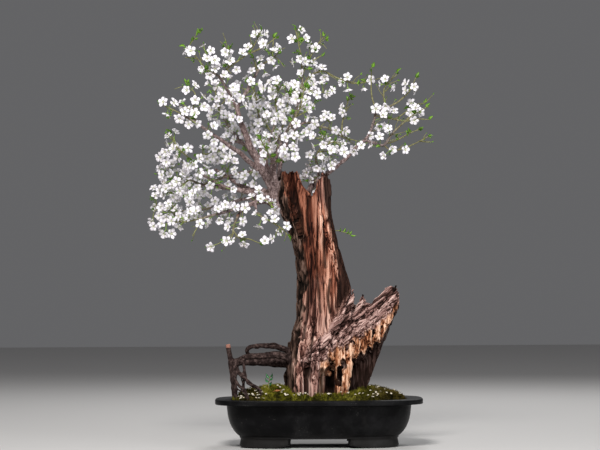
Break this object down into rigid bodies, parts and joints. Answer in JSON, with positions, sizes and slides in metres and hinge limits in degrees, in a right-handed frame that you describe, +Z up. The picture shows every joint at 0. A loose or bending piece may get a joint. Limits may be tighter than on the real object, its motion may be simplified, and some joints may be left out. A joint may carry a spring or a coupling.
{
  "type": "bonsai tree in a pot",
  "caption": "Old cherry plum bonsai in white blossom, with a hollow deadwood trunk and bare roots, in a dark oval tray pot.",
  "frame": {"origin": "under the middle of the whole tree, on the ground that the pot's feet stand on", "axes": "+Z up, +X to the right along the pot's length, and the front of the tree faces -Y"},
  "size_m": [0.6534, 0.34, 0.9521],
  "materials": {
    "pot": "satin",
    "screen": "matt",
    "soil": "rough",
    "moss": "rough",
    "wood": "rough",
    "leaf": "satin",
    "dry_leaf": "matt",
    "blossom": "matt"
  },
  "bodies": {
    "root": {"pot": "pot", "drain_screen_left": "screen", "drain_screen_right": "screen", "soil": "soil", "moss": "moss", "trunk": "wood", "trunk_shoot": "leaf", "seedling": "leaf", "dried_leaf": "dry_leaf", "spray_leader": "blossom", "spray_upper_left": "blossom", "spray_left": "blossom", "spray_low_left": "blossom", "spray_low_left_back": "blossom", "spray_mid_left": "blossom", "spray_bottom": "blossom", "spray_hanging": "blossom", "spray_under": "blossom", "spray_back_a": "blossom", "spray_centre_a": "blossom", "spray_back_b": "blossom", "spray_centre_b": "blossom", "spray_top": "blossom", "spray_right_back": "blossom", "spray_fan_low": "blossom", "spray_fan_high": "blossom", "spray_over_trunk": "blossom", "spray_mid_back": "blossom", "spray_mid_inner": "blossom", "spray_low_back": "blossom", "spray_rear": "blossom", "spray_front": "blossom"}
  },
  "joints": []
}
